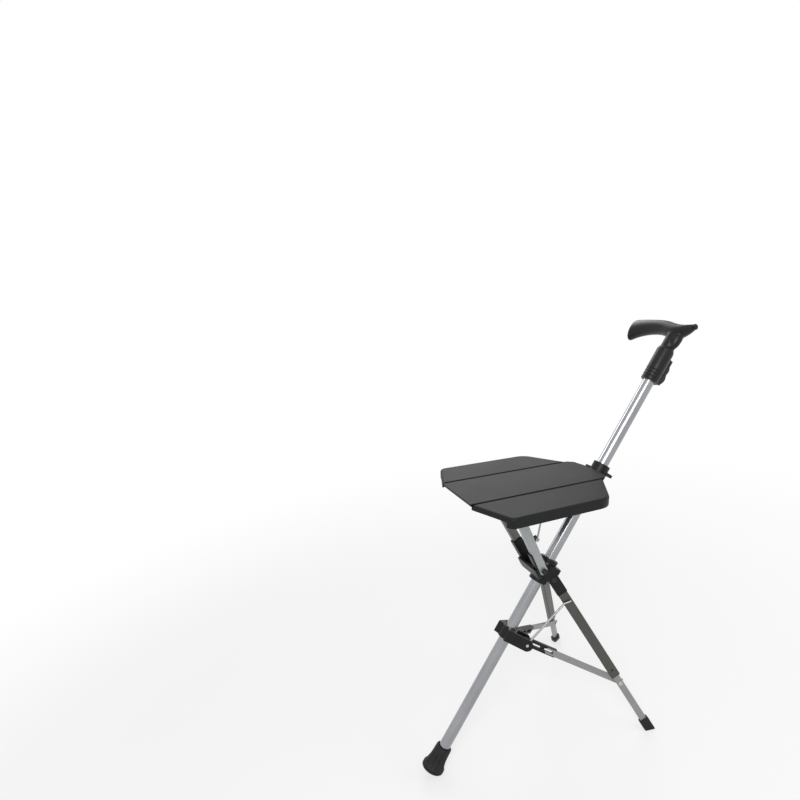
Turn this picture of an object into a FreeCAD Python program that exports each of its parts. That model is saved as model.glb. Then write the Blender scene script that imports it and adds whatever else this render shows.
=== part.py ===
import FreeCAD, Part
import math
import os
import Sketcher
from FreeCAD import Placement, Rotation, Vector

# A walking stick that opens into a three-footed seat, modelled in its open position.
# Millimetres. +Z is up, +X points from the seat's front edge to the handle, -Y is the near side.
# The origin lies on the floor in the middle of the flat that the stick's ferrule stands on.

SIZES = [
    ("stick_lean", 42, "lean of the open stick from the vertical, degrees"),
    ("running_gap", 0.3, "gap between faces that slide or swing past each other"),
    ("pin_gap", 0.05, "radial gap between a pin and its hole"),
    ("tube_od", 20, "outer diameter of the stick's tube"),
    ("tube_wall", 1.5, "wall of the stick's tube"),
    ("tube_groove", 1.3, "radius of the groove along the tube's front"),
    ("tube_top", 800, "top end of the tube, inside the sleeve"),
    ("ferrule_od", 40, "outer diameter of the ferrule's foot"),
    ("ferrule_neck_od", 28, "outer diameter of the ferrule's top"),
    ("ferrule_tall", 44, "height of the ferrule"),
    ("ferrule_floor", 12, "rubber under the tube"),
    ("ferrule_flat", 3, "depth of the flat that the ferrule stands on"),
    ("ferrule_flutes", 10, "flutes round the ferrule"),
    ("flute_radius", 3.2, "radius of a flute"),
    ("sleeve_bottom", 765.6, "bottom of the grip sleeve"),
    ("sleeve_long", 62.4, "length of the grip sleeve"),
    ("sleeve_wide", 30, "outer diameter of the grip sleeve"),
    ("handle_stem", 24, "diameter of the handle's stem"),
    ("grip_reach", 101, "from the stem to the end of the grip"),
    ("nose_reach", 35, "from the stem to the tip of the nose"),
    ("handle_blend", 8, "radius where the handle's stem runs into the grip"),
    ("trigger_long", 34, "length of the release trigger"),
    ("trigger_wide", 11, "width of the release trigger"),
    ("trigger_proud", 12, "how far the trigger stands out of the sleeve"),
    ("trigger_travel", 4, "how far the trigger presses in"),
    ("trigger_start", 6, "from the sleeve's bottom up to the trigger"),
    ("housing_wall", 2.5, "wall of the trigger's housing"),
    ("hub_middle", 392, "height of the leg pivots along the stick"),
    ("hub_od", 32, "outer diameter of the hub's collar"),
    ("hub_long", 34, "length of the hub's collar"),
    ("ear_start", 7.5, "from the middle to the inside of a hub ear"),
    ("ear_thick", 5, "thickness of a hub ear"),
    ("fork_round", 8, "radius of a fork's eye"),
    ("fork_wall", 3.6, "thickness of a fork's outer plate"),
    ("fork_tall", 19, "height of the forks above the leg pivots"),
    ("hub_ring_long", 8, "length of the ring above the hub"),
    ("bar_open_angle", 60, "front bars from the stick when open, degrees"),
    ("seat_open_angle", 56.5, "seat from the stick when open, degrees"),
    ("ring_travel", 161.5, "travel of the clip ring from open to folded"),
    ("ring_open", 590, "middle of the clip ring along the stick when open"),
    ("ring_long", 27, "length of the clip ring"),
    ("ring_wall", 4.2, "wall of the clip ring"),
    ("ring_gap", 0.9, "radial gap between the clip ring and the tube"),
    ("ring_arm_start", 11.3, "from the middle to the inside of a clip ring arm"),
    ("ring_arm_thick", 4.7, "thickness of a clip ring arm"),
    ("ring_to_hinge", 24.6, "from the ring's middle down to the seat's rear hinge"),
    ("rear_hinge_forward", 15.5, "from the tube's middle to the rear hinge"),
    ("hinge_offset", 8, "how much higher the seat's front hinge is than its rear one"),
    ("wing_span", 61, "across the two finger wings"),
    ("bar_deep", 15, "depth of a front bar"),
    ("bar_wide", 10, "width of a front bar"),
    ("bar_wall", 1.2, "wall of a front bar"),
    ("bar_foot_y", 22.8, "from the middle to a bar at its lower end"),
    ("bar_head_y", 43, "from the middle to a bar at its upper end"),
    ("shoe_long", 46, "length of a bar's plastic shoe"),
    ("shoe_wall", 2.4, "wall of a bar's plastic shoe"),
    ("pin_od", 6, "diameter of the main hinge pins"),
    ("deck_top", 20, "from the rear hinge up to the seat's top"),
    ("deck_thick", 3.2, "thickness of the seat's boards"),
    ("deck_front", 240, "from the rear hinge to the seat's front edge"),
    ("deck_rear", 11, "from the rear hinge back to the middle board's rear end"),
    ("side_rear", 6, "from the rear hinge forward to a side board's rear end"),
    ("rear_swept", 44, "how far a side board's rear corner is swept forward"),
    ("rear_round", 30, "radius of a side board's rear corner"),
    ("front_round", 11, "radius of a side board's front corner"),
    ("edge_round", 4.5, "rounding of a side board's upper edge"),
    ("seam_y", 50.5, "from the middle to the hinge line of a side board"),
    ("seam_gap", 0.9, "from the hinge line to the side board"),
    ("side_wide", 70, "width of a side board"),
    ("side_swept", 26, "how far a side board's front corner is swept back"),
    ("skirt_deep", 15, "depth of the skirt along a side board's edge"),
    ("skirt_wall", 3, "thickness of the skirt"),
    ("rib_deep", 5, "depth of the ribs under the seat"),
    ("rib_thick", 2, "thickness of a rib"),
    ("barrel_od", 4.8, "outer diameter of a seam hinge's barrels"),
    ("barrel_long", 14, "length of one barrel"),
    ("seam_pin", 2.2, "diameter of a seam hinge's pin"),
    ("bracket_thick", 3, "thickness of the seat brackets' plates"),
    ("lug_thick", 5, "thickness of a bracket's lug"),
    ("lug_round", 6, "radius of a bracket's lug"),
    ("rear_lug_start", 16.4, "from the middle to the inside of a rear bracket's lug"),
    ("leg_splay", 26.2, "angle of each leg's plane from the stick's rear, degrees"),
    ("leg_open_angle", 61.7, "legs from the stick when open, degrees"),
    ("leg_out", 20, "from the stick's middle out to the leg pivot"),
    ("leg_side", 8.6, "from the stick's middle sideways to the leg"),
    ("leg_deep", 17, "depth of the upper leg tube"),
    ("leg_wide", 10, "width of the upper leg tube"),
    ("leg_wall", 1.2, "wall of the upper leg tube"),
    ("leg_tube_long", 212, "from the pivot to the upper tube's open end"),
    ("leg_rivet", 228, "from the pivot down to the strut's rivet"),
    ("lower_leg_deep", 12, "depth of the lower leg"),
    ("lower_leg_wide", 7, "width of the lower leg"),
    ("foot_long", 21, "length of a leg's rubber foot"),
    ("foot_wall", 2.6, "rubber round the lower leg"),
    ("foot_floor", 9, "rubber under the lower leg"),
    ("rivet_od", 5, "diameter of the leg rivets"),
    ("knuckle_long", 31, "length of the leg's black knuckle"),
    ("slider_open", 272, "middle of the slider along the stick when open"),
    ("slider_long", 20, "length of the slider"),
    ("slider_wall", 4.2, "wall of the slider's collar"),
    ("slider_gap", 0.4, "radial gap between the slider and the tube"),
    ("strut_out", 34.5, "from the stick's middle out to the strut pivot"),
    ("link_pin", 5, "diameter of the slider's pins"),
    ("tongue_thick", 4.2, "thickness of a slider tongue"),
    ("outer_arm_thick", 3.6, "thickness of a slider's outer arm"),
    ("strut_wide", 11, "width of a strut"),
    ("strut_thick", 3, "thickness of a strut's strap"),
    ("arm_long", 59, "length of the strut's black slotted arm"),
    ("arm_wide", 14, "width of the slotted arm"),
    ("arm_slot", 4.8, "width of the slots in the arm"),
    ("brace_wire", 4, "diameter of a brace rod"),
    ("brace_reach", 44, "from the leg pivot down to where the brace rod meets the leg"),
    ("stay_wire", 3, "diameter of a seat stay"),
    ("stay_share", 0.42, "where a stay hinges, as a share of the bar's length"),
]

doc = FreeCAD.newDocument("WalkingStickSeat")
sheet = doc.addObject("Spreadsheet::Sheet", "Sizes")
for row, (alias, number, note) in enumerate(SIZES, start=1):
    sheet.set("A%d" % row, note)
    sheet.set("B%d" % row, str(number))
    sheet.setAlias("B%d" % row, alias)
doc.recompute()


def mm(alias):
    return float(sheet.get(alias))


# Where things are. The stick's frame has X to the front, Y to the near side and Z up the stick,
# and every folding piece is drawn in a frame that is parallel to it when the stick is folded.

lean = math.radians(mm("stick_lean"))
UP = Vector(math.sin(lean), 0, math.cos(lean))
FRONT = Vector(-math.cos(lean), 0, math.sin(lean))
NEAR = Vector(0, -1, 0)
floor_to_ferrule = mm("ferrule_od") / 2 * math.sin(lean) - mm("ferrule_flat")
flat_start = floor_to_ferrule / math.tan(lean)
flat_end = mm("ferrule_od") / 2 * math.cos(lean) + mm("ferrule_flat") * math.tan(lean)
BASE = Vector(-(flat_start + flat_end) / 2, 0, floor_to_ferrule)


def frame(origin, x_axis, z_axis):
    return Placement(origin, Rotation(x_axis, z_axis.cross(x_axis), z_axis, "ZXY"))


def on_stick(along, forward=0.0, sideways=0.0):
    return BASE + UP * along + FRONT * forward + NEAR * sideways


STICK = frame(BASE, FRONT, UP)

# The seat's four-bar linkage closes when open and when folded flat along the stick.
bar_angle = math.radians(mm("bar_open_angle"))
seat_angle = math.radians(mm("seat_open_angle"))
offset = mm("hinge_offset")
sine_gap = -offset * (1 - math.cos(seat_angle))
cosine_gap = mm("ring_travel") - offset * math.sin(seat_angle)
spread = (math.sin(bar_angle) * (1 - math.cos(seat_angle))
          + math.sin(seat_angle) * (1 - math.cos(bar_angle)))
BAR_LONG = (sine_gap * (1 - math.cos(seat_angle)) + math.sin(seat_angle) * cosine_gap) / spread
HINGE_APART = (math.sin(bar_angle) * cosine_gap - (1 - math.cos(bar_angle)) * sine_gap) / spread

rear_hinge_along = mm("ring_open") - mm("ring_to_hinge")
bar_foot_along = (rear_hinge_along - BAR_LONG * math.cos(bar_angle)
                  - HINGE_APART * math.cos(seat_angle) + offset * math.sin(seat_angle))
BAR_FORWARD = mm("rear_hinge_forward") + offset
bar_up = UP * math.cos(bar_angle) + FRONT * math.sin(bar_angle)
bar_front = FRONT * math.cos(bar_angle) - UP * math.sin(bar_angle)
seat_forward = FRONT * math.sin(seat_angle) - UP * math.cos(seat_angle)
seat_up = UP * math.sin(seat_angle) + FRONT * math.cos(seat_angle)
BARS = frame(on_stick(bar_foot_along, BAR_FORWARD), bar_front, bar_up)
SEAT = frame(on_stick(rear_hinge_along, mm("rear_hinge_forward")), seat_forward, seat_up)
RING = frame(on_stick(mm("ring_open")), FRONT, UP)

# The near leg opens in a plane that holds the stick's axis and is turned to the side by its splay.
splay = math.radians(mm("leg_splay"))
leg_angle = math.radians(mm("leg_open_angle"))
OUTWARD = NEAR * math.sin(splay) - FRONT * math.cos(splay)
SIDE = FRONT * math.sin(splay) + NEAR * math.cos(splay)


def in_leg_plane(along, outward, sideways=0.0):
    return BASE + UP * along + OUTWARD * outward + SIDE * sideways


leg_up = UP * math.cos(leg_angle) - OUTWARD * math.sin(leg_angle)
leg_outer = OUTWARD * math.cos(leg_angle) + UP * math.sin(leg_angle)
LEG = frame(in_leg_plane(mm("hub_middle"), mm("leg_out"), mm("leg_side")), leg_outer, leg_up)
leg_pivot = LEG.Base
LEG_LONG = leg_pivot.z / leg_up.z

# The strut runs from the slider to the leg's rivet, open and folded.
rivet_along = mm("hub_middle") - mm("leg_rivet") * math.cos(leg_angle)
rivet_outward = mm("leg_out") + mm("leg_rivet") * math.sin(leg_angle)
strut_down = mm("slider_open") - rivet_along
strut_across = rivet_outward - mm("strut_out")
STRUT_LONG = math.hypot(strut_down, strut_across)
strut_angle = math.atan2(strut_across, strut_down)
strut_fold_angle = math.asin((mm("leg_out") - mm("strut_out")) / STRUT_LONG)
SLIDER_TRAVEL = (mm("hub_middle") - mm("leg_rivet") + STRUT_LONG * math.cos(strut_fold_angle)
                 - mm("slider_open"))
strut_up = UP * math.cos(strut_angle) - OUTWARD * math.sin(strut_angle)
strut_outer = OUTWARD * math.cos(strut_angle) + UP * math.sin(strut_angle)
strut_pivot = in_leg_plane(mm("slider_open"), mm("strut_out"))
STRUT = frame(strut_pivot, strut_outer, strut_up)
SLIDER = frame(on_stick(mm("slider_open")), FRONT, UP)
SLIDER_SIDE = frame(SLIDER.Base, OUTWARD, UP)
HUB_SIDE = frame(on_stick(mm("hub_middle")), OUTWARD, UP)

# The brace rod turns about the strut's pivot and rests against the leg's outer face.
brace_along = mm("hub_middle") - mm("brace_reach") * math.cos(leg_angle) - mm("slider_open")
brace_out = mm("leg_out") + mm("brace_reach") * math.sin(leg_angle) - mm("strut_out")
BRACE_LONG = math.hypot(brace_along, brace_out)
brace_angle = math.atan2(brace_out, brace_along)
brace_up = UP * math.cos(brace_angle) + OUTWARD * math.sin(brace_angle)
brace_outer = OUTWARD * math.cos(brace_angle) - UP * math.sin(brace_angle)
BRACE = frame(strut_pivot, brace_outer, brace_up)

# Ways to make a piece. Sizes go in as expressions on the sheet, places as placements.

ALONG_X = Rotation(Vector(0, 1, 0), 90)
ALONG_Y = Rotation(Vector(1, 0, 0), -90)
NODES = []


def at(place, x=0.0, y=0.0, z=0.0, turn=None):
    return place * Placement(Vector(x, y, z), turn if turn else Rotation())


def bind(piece, **sizes):
    for name, text in sizes.items():
        piece.setExpression(name, text)
    return piece


def cylinder(name, place, radius, height):
    piece = doc.addObject("Part::Cylinder", name)
    piece.Placement = place
    return bind(piece, Radius=radius, Height=height)


def block(name, place, low, high):
    piece = doc.addObject("Part::Box", name)
    piece.Length = high[0] - low[0]
    piece.Width = high[1] - low[1]
    piece.Height = high[2] - low[2]
    piece.Placement = at(place, *low)
    return piece


def cut(name, base, *tools):
    for count, tool in enumerate(tools, start=1):
        piece = doc.addObject("Part::Cut", name if count == len(tools) else "%s_cut_%d" % (name, count))
        piece.Base = base
        piece.Tool = tool
        base = piece
    return base


def fuse(name, *pieces):
    piece = doc.addObject("Part::MultiFuse", name)
    piece.Shapes = list(pieces)
    piece.Refine = True
    return piece


def rounded(name, base, radius, edges):
    piece = doc.addObject("Part::Fillet", name)
    piece.Base = base
    piece.Edges = [(edge, radius, radius) for edge in edges]
    return piece


def mirrored(name, source):
    piece = doc.addObject("Part::Mirroring", name)
    piece.Source = source
    piece.Normal = Vector(0, 1, 0)
    piece.Base = Vector(0, 0, 0)
    return piece


def solid(name, shape, place):
    piece = doc.addObject("Part::Feature", name)
    piece.Shape = shape
    piece.Placement = place
    return piece


def node(label, piece):
    piece.Label = label
    NODES.append(piece)
    return piece


def pair(label, piece):
    node(label + "_near", piece)
    node(label + "_far", mirrored(label + "_mirror", piece))


def body_at(name, place):
    body = doc.addObject("PartDesign::Body", name)
    body.Placement = place
    return body


def sketch_on(body, name, role, lift=0.0):
    sketch = body.newObject("Sketcher::SketchObject", name)
    plane = [item for item in body.Origin.OriginFeatures if item.Role == role][0]
    sketch.AttachmentSupport = [(plane, "")]
    sketch.MapMode = "FlatFace"
    sketch.AttachmentOffset = Placement(Vector(0, 0, lift), Rotation())
    return sketch


def polygon(sketch, corners):
    """Draws a closed outline whose corners are pairs of numbers or of expressions on the sheet."""
    sides = len(corners)
    circle = [Vector(10 * math.cos(2 * math.pi * turn / sides), 10 * math.sin(2 * math.pi * turn / sides), 0)
              for turn in range(sides)]
    for turn, start in enumerate(circle):
        sketch.addGeometry(Part.LineSegment(start, circle[(turn + 1) % sides]), False)
    for turn in range(sides):
        sketch.addConstraint(Sketcher.Constraint("Coincident", turn, 2, (turn + 1) % sides, 1))
    for turn, corner in enumerate(corners):
        for way, value in zip(("DistanceX", "DistanceY"), corner):
            number = 1.0 if isinstance(value, str) else value
            index = sketch.addConstraint(Sketcher.Constraint(way, -1, 1, turn, 1, number))
            if isinstance(value, str):
                sketch.setExpression("Constraints[%d]" % index, value)


def pad(body, sketch, name, length, backwards=False):
    feature = body.newObject("PartDesign::Pad", name)
    feature.Profile = sketch
    feature.Reversed = backwards
    sketch.Visibility = False
    return bind(feature, Length=length)


# Stick: the tube with the groove along its front.

half_tube = mm("tube_od") / 2
tube_foot = at(STICK, z=mm("ferrule_floor"))
tube_long = "Sizes.tube_top - Sizes.ferrule_floor"
node("stick_tube", cut(
    "Tube",
    cylinder("TubeOuter", tube_foot, "Sizes.tube_od / 2", tube_long),
    cylinder("TubeBore", tube_foot, "Sizes.tube_od / 2 - Sizes.tube_wall", tube_long),
    cylinder("TubeGroove", at(tube_foot, x=half_tube + mm("tube_groove") / 2), "Sizes.tube_groove", tube_long)))

# Ferrule: a flared and fluted rubber foot, worn flat where it meets the floor.

ferrule_body = body_at("FerruleBody", STICK)
profile = sketch_on(ferrule_body, "FerruleProfile", "XZ_Plane")
polygon(profile, [
    ("Sizes.tube_od / 2 + 0.01", "Sizes.ferrule_floor"),
    ("Sizes.tube_od / 2 + 0.01", "Sizes.ferrule_tall"),
    ("Sizes.ferrule_neck_od / 2 - 1.5", "Sizes.ferrule_tall"),
    ("Sizes.ferrule_neck_od / 2", "Sizes.ferrule_tall - 2"),
    ("Sizes.ferrule_neck_od / 2 + 0.5", "Sizes.ferrule_tall * 0.6"),
    ("Sizes.ferrule_od / 2 - 1.5", "Sizes.ferrule_tall * 0.2"),
    ("Sizes.ferrule_od / 2", "Sizes.ferrule_tall * 0.12"),
    ("Sizes.ferrule_od / 2", 1.0),
    ("Sizes.ferrule_od / 2 - 1", 0.001),
    (0.001, 0.001),
    (0.001, "Sizes.ferrule_floor")])
turned = ferrule_body.newObject("PartDesign::Revolution", "FerruleTurned")
turned.Profile = profile
turned.ReferenceAxis = (profile, ["V_Axis"])
turned.Angle = 360
doc.recompute()
flute_sketch = sketch_on(ferrule_body, "FluteSketch", "XY_Plane", lift=6.0)
flute_sketch.addGeometry(Part.Circle(Vector(18, 0, 0), Vector(0, 0, 1), 3), False)
flute_sketch.addConstraint(Sketcher.Constraint("Radius", 0, 3.0))
flute_sketch.setExpression("Constraints[0]", "Sizes.flute_radius")
flute_sketch.addConstraint(Sketcher.Constraint("DistanceX", -1, 1, 0, 3, 18.0))
flute_sketch.setExpression("Constraints[1]", "Sizes.ferrule_neck_od / 2 + Sizes.flute_radius + 0.4")
flute_sketch.addConstraint(Sketcher.Constraint("PointOnObject", 0, 3, -1))
flute = ferrule_body.newObject("PartDesign::Pocket", "Flute")
flute.Profile = flute_sketch
flute.Reversed = True
bind(flute, Length="Sizes.ferrule_tall")
doc.recompute()
flutes = ferrule_body.newObject("PartDesign::PolarPattern", "Flutes")
flutes.Originals = [flute]
flutes.Axis = ([item for item in ferrule_body.Origin.OriginFeatures if item.Role == "Z_Axis"][0], [""])
flutes.Angle = 360
bind(flutes, Occurrences="Sizes.ferrule_flutes")
ferrule_body.Tip = flutes
WORLD = Placement()
under_floor = block("UnderFloor", WORLD, (-80, -400, -80), (600, 400, 0))
node("ferrule", cut("Ferrule", ferrule_body, under_floor))

# Hub: a moulded collar with two ears in front for the bars and two forks behind for the legs.

gap = mm("running_gap")
half_pin = mm("pin_od") / 2
hub_low = -mm("hub_long") / 2
HUB = at(STICK, z=mm("hub_middle"))
BAR_PIVOT = at(STICK, x=BAR_FORWARD, z=bar_foot_along)
ear_radius = mm("bar_deep") / 2
ear_inner = mm("ear_start")
ear_outer = ear_inner + mm("ear_thick")
pin_high = bar_foot_along - mm("hub_middle")
leg_face_in = mm("leg_side") - mm("leg_wide") / 2 - gap
leg_face_out = mm("leg_side") + mm("leg_wide") / 2 + gap
fork_radius = mm("fork_round")
fork_wall = mm("fork_wall")
knuckle_radius = mm("leg_deep") / 2 + 1
fork_top = mm("fork_tall")
fork_start = -2.0
hub_rim = mm("hub_od") / 2 - 14
fork_parts = []
for name, low_side, high_side in (("Inner", fork_start, leg_face_in),
                                  ("Outer", leg_face_out, leg_face_out + fork_wall)):
    fork_parts.append(block("Fork%sPlate" % name, HUB_SIDE, (hub_rim, -high_side, -fork_radius),
                            (mm("leg_out"), -low_side, fork_top)))
    fork_parts.append(cylinder("Fork%sEye" % name, at(HUB_SIDE, x=mm("leg_out"), y=-high_side, turn=ALONG_Y),
                               "Sizes.fork_round", str(high_side - low_side)))
fork_parts.append(block("ForkBridge", HUB_SIDE, (hub_rim, -leg_face_out - fork_wall, knuckle_radius + gap),
                        (mm("leg_out") + 3, -fork_start, fork_top)))
fork = fuse("ForkNear", *fork_parts)
ears = []
for side, edge in (("Near", ear_inner), ("Far", -ear_outer)):
    ears.append(block("Ear%s" % side, HUB, (mm("hub_od") / 2 - 10, edge, pin_high - ear_radius),
                      (BAR_FORWARD, edge + mm("ear_thick"), pin_high + ear_radius)))
    ears.append(cylinder("EarEye%s" % side, at(BAR_PIVOT, y=edge, turn=ALONG_Y), "Sizes.bar_deep / 2",
                         "Sizes.ear_thick"))
collar = cylinder("HubCollar", at(HUB, z=hub_low), "Sizes.hub_od / 2", "Sizes.hub_long")
hub_blank = fuse("HubBlank", collar, fork, mirrored("ForkFar", fork), *ears)
leg_room = block("LegRoomNear", HUB_SIDE, (mm("leg_out") - knuckle_radius - gap, -leg_face_out, -60),
                 (60, -leg_face_in, knuckle_radius + gap))
leg_pin_hole = cylinder("LegPinHoleNear", at(HUB_SIDE, x=mm("leg_out"), y=-40, turn=ALONG_Y),
                        "Sizes.pin_od / 2", "60")
node("hub", cut(
    "Hub", hub_blank,
    cylinder("HubBore", at(HUB, z=hub_low - 1), "Sizes.tube_od / 2 + 0.01", "Sizes.hub_long + 10"),
    leg_room, mirrored("LegRoomFar", leg_room), leg_pin_hole, mirrored("LegPinHoleFar", leg_pin_hole),
    cylinder("FrontPinHole", at(BAR_PIVOT, y=-40, turn=ALONG_Y), "Sizes.pin_od / 2", "80")))

ring_place = at(HUB, z=fork_top + gap)
node("hub_ring", cut(
    "HubRing",
    cylinder("HubRingOuter", ring_place, "Sizes.hub_od / 2 + 0.5", "Sizes.hub_ring_long"),
    cylinder("HubRingBore", ring_place, "Sizes.tube_od / 2 + 0.01", "Sizes.hub_ring_long")))

pin_reach = mm("bar_foot_y") + mm("bar_wide") / 2 + mm("shoe_wall")
node("front_pin", fuse(
    "FrontPin",
    cylinder("FrontPinShank", at(BAR_PIVOT, y=-pin_reach, turn=ALONG_Y),
             "Sizes.pin_od / 2", str(2 * pin_reach)),
    cylinder("FrontPinHead", at(BAR_PIVOT, y=pin_reach, turn=ALONG_Y), "Sizes.pin_od / 2 + 2", "2"),
    cylinder("FrontPinNut", at(BAR_PIVOT, y=-pin_reach - 2, turn=ALONG_Y), "Sizes.pin_od / 2 + 2", "2")))

pin_out = leg_face_out + fork_wall
pair("leg_pin", fuse(
    "LegPin",
    cylinder("LegPinShank", at(HUB_SIDE, x=mm("leg_out"), y=-pin_out, turn=ALONG_Y), "Sizes.pin_od / 2",
             str(pin_out + 2)),
    cylinder("LegPinHead", at(HUB_SIDE, x=mm("leg_out"), y=-pin_out - 2, turn=ALONG_Y),
             "Sizes.pin_od / 2 + 2", "2")))

# Sleeve: the moulded grip under the handle, with the housing of the release trigger at its rear.

SLEEVE = at(STICK, z=mm("sleeve_bottom"))
sleeve_body = body_at("SleeveBody", SLEEVE)
sleeve_profile = sketch_on(sleeve_body, "SleeveProfile", "XZ_Plane")
sleeve_corners = [("Sizes.tube_od / 2 + 0.01", 0.001), ("Sizes.sleeve_wide / 2 - 0.8", 0.001),
                  ("Sizes.sleeve_wide / 2", 0.8)]
for low in (5.0, 11.0, 17.0):
    sleeve_corners += [("Sizes.sleeve_wide / 2", low), ("Sizes.sleeve_wide / 2 - 0.8", low + 0.8),
                       ("Sizes.sleeve_wide / 2 - 0.8", low + 1.6), ("Sizes.sleeve_wide / 2", low + 2.4)]
sleeve_corners += [("Sizes.sleeve_wide / 2", "Sizes.sleeve_long - 6"),
                   ("Sizes.handle_stem / 2 + 0.6", "Sizes.sleeve_long"),
                   ("Sizes.tube_od / 2 + 0.01", "Sizes.sleeve_long")]
polygon(sleeve_profile, sleeve_corners)
sleeve_turned = sleeve_body.newObject("PartDesign::Revolution", "SleeveTurned")
sleeve_turned.Profile = sleeve_profile
sleeve_turned.ReferenceAxis = (sleeve_profile, ["V_Axis"])
sleeve_turned.Angle = 360

half_sleeve = mm("sleeve_wide") / 2
trigger_low = mm("trigger_start")
trigger_high = trigger_low + mm("trigger_long")
housing_proud = mm("trigger_proud") - mm("trigger_travel") - 2
half_trigger = mm("trigger_wide") / 2
housing = rounded("HousingRounded", block(
    "Housing", SLEEVE, (-half_sleeve - housing_proud, -half_trigger - mm("housing_wall"), trigger_low - 3),
    (-half_tube - 1, half_trigger + mm("housing_wall"), trigger_high + 9)), 2.0, (1, 2, 3, 4))
trigger_room = block("TriggerRoom", SLEEVE, (-half_sleeve - 20, -half_trigger - gap, trigger_low - gap),
                     (-half_tube - 0.5, half_trigger + gap, trigger_high + gap))
node("grip_sleeve", cut("Sleeve", fuse("SleeveAndHousing", sleeve_body, housing), trigger_room))

trigger_back = -half_sleeve - mm("trigger_proud")
trigger_face = [(trigger_back + 5, trigger_low), (trigger_back + 1, trigger_low + 6),
                (trigger_back, trigger_low + 12), (trigger_back + 2.2, trigger_low + 19),
                (trigger_back + 1.4, trigger_low + 25), (trigger_back + 5, trigger_high)]
trigger_curve = Part.BSplineCurve()
trigger_curve.interpolate([Vector(x, -half_trigger, z) for x, z in trigger_face])
trigger_inner = -half_tube - 0.5 - mm("trigger_travel") - gap
corner_low = Vector(trigger_inner, -half_trigger, trigger_low)
corner_high = Vector(trigger_inner, -half_trigger, trigger_high)
trigger_wire = Part.Wire([
    trigger_curve.toShape(),
    Part.makeLine(Vector(trigger_face[-1][0], -half_trigger, trigger_high), corner_high),
    Part.makeLine(corner_high, corner_low),
    Part.makeLine(corner_low, Vector(trigger_face[0][0], -half_trigger, trigger_low))])
trigger_shape = Part.Face(trigger_wire).extrude(Vector(0, mm("trigger_wide"), 0))
node("release_trigger", solid("Trigger", trigger_shape, SLEEVE))

# Handle: a derby handle whose long grip points to the far side and whose nose points to the near side.
# Each section is an oval across the grip: its place from the stem, its bottom, its top and its width.

HANDLE = at(SLEEVE, z=mm("sleeve_long"))
grip = mm("grip_reach")
nose = mm("nose_reach")
HANDLE_SECTIONS = [
    (-grip, 8.5, 49.0, 25.0), (-grip * 0.8, 18.5, 50.3, 25.5), (-grip * 0.5, 25.0, 51.2, 25.0),
    (-grip * 0.22, 23.5, 49.8, 25.5), (0.0, 19.0, 45.6, 26.0), (nose * 0.5, 26.0, 45.0, 22.0),
    (nose, 41.0, 47.8, 8.0)]
STEM_INTO_GRIP = 30.0


def oval(centre, wide, tall):
    """An upright ellipse across the grip, whose first point lies on its longer axis."""
    long_way = Vector(0, 0, 1) if tall >= wide else Vector(1, 0, 0)
    short_way = long_way.cross(Vector(0, 1, 0))
    long_end = centre + long_way * (max(wide, tall) / 2)
    short_end = centre + short_way * (min(wide, tall) / 2)
    return Part.Wire([Part.Ellipse(long_end, short_end, centre).toShape()])


grip_shape = Part.makeLoft([oval(Vector(0, place, (low + high) / 2), wide, high - low)
                            for place, low, high, wide in HANDLE_SECTIONS], True, False)
half_stem = mm("handle_stem") / 2
handle_shape = grip_shape.fuse(Part.makeCylinder(half_stem, STEM_INTO_GRIP))
blend_edges = [edge for edge in handle_shape.Edges
               if edge.BoundBox.ZMin > half_stem / 2 and edge.BoundBox.ZMax < STEM_INTO_GRIP
               and edge.BoundBox.YMin > -half_stem - 1 and edge.BoundBox.YMax < half_stem + 1]
handle_shape = handle_shape.makeFillet(mm("handle_blend"), blend_edges)
node("handle", solid("Handle", handle_shape, HANDLE))

# Front bars: two flat tubes that lean apart, in plastic shoes joined by a yoke, with a rod at the top.

splay_angle = math.degrees(math.atan2(mm("bar_head_y") - mm("bar_foot_y"), BAR_LONG))
BAR_NEAR = at(BARS, y=mm("bar_foot_y"), turn=Rotation(Vector(1, 0, 0), -splay_angle))
splayed_long = BAR_LONG / math.cos(math.radians(splay_angle))
half_deep = mm("bar_deep") / 2
half_wide = mm("bar_wide") / 2
inner_deep = half_deep - mm("bar_wall")
inner_wide = half_wide - mm("bar_wall")
TOP_ROD = at(BARS, z=BAR_LONG)
bar_blank = fuse(
    "BarBlank",
    rounded("BarRounded", block("BarBlock", BAR_NEAR, (-half_deep, -half_wide, 0),
                                (half_deep, half_wide, splayed_long)), 1.6, (1, 3, 5, 7)),
    cylinder("BarFootEnd", at(BAR_NEAR, y=-half_wide, turn=ALONG_Y), "Sizes.bar_deep / 2", "Sizes.bar_wide"),
    cylinder("BarHeadEnd", at(BAR_NEAR, y=-half_wide, z=splayed_long, turn=ALONG_Y),
             "Sizes.bar_deep / 2", "Sizes.bar_wide"))
pair("front_bar", cut(
    "Bar", bar_blank,
    block("BarHollow", BAR_NEAR, (-inner_deep, -inner_wide, 12), (inner_deep, inner_wide, splayed_long - 12)),
    cylinder("BarFootHole", at(BARS, y=0, turn=ALONG_Y), "Sizes.pin_od / 2 + Sizes.pin_gap", "60"),
    cylinder("BarHeadHole", at(TOP_ROD, y=0, turn=ALONG_Y), "Sizes.pin_od / 2", "80")))

shoe_wall = mm("shoe_wall")
shoe_foot = -half_deep - 3.5
pair("bar_shoe", cut(
    "Shoe",
    rounded("ShoeRounded", block("ShoeBlock", BAR_NEAR, (-half_deep, -half_wide - shoe_wall, shoe_foot),
                                 (half_deep + shoe_wall, half_wide, mm("shoe_long"))), 1.5, (4, 5, 8, 11)),
    block("ShoeHollow", BAR_NEAR, (-half_deep - 9, -half_wide, -half_deep), (half_deep, half_wide + 9, 90)),
    cylinder("ShoeHole", at(BARS, y=0, turn=ALONG_Y), "Sizes.pin_od / 2 + Sizes.pin_gap", "60")))

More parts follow.
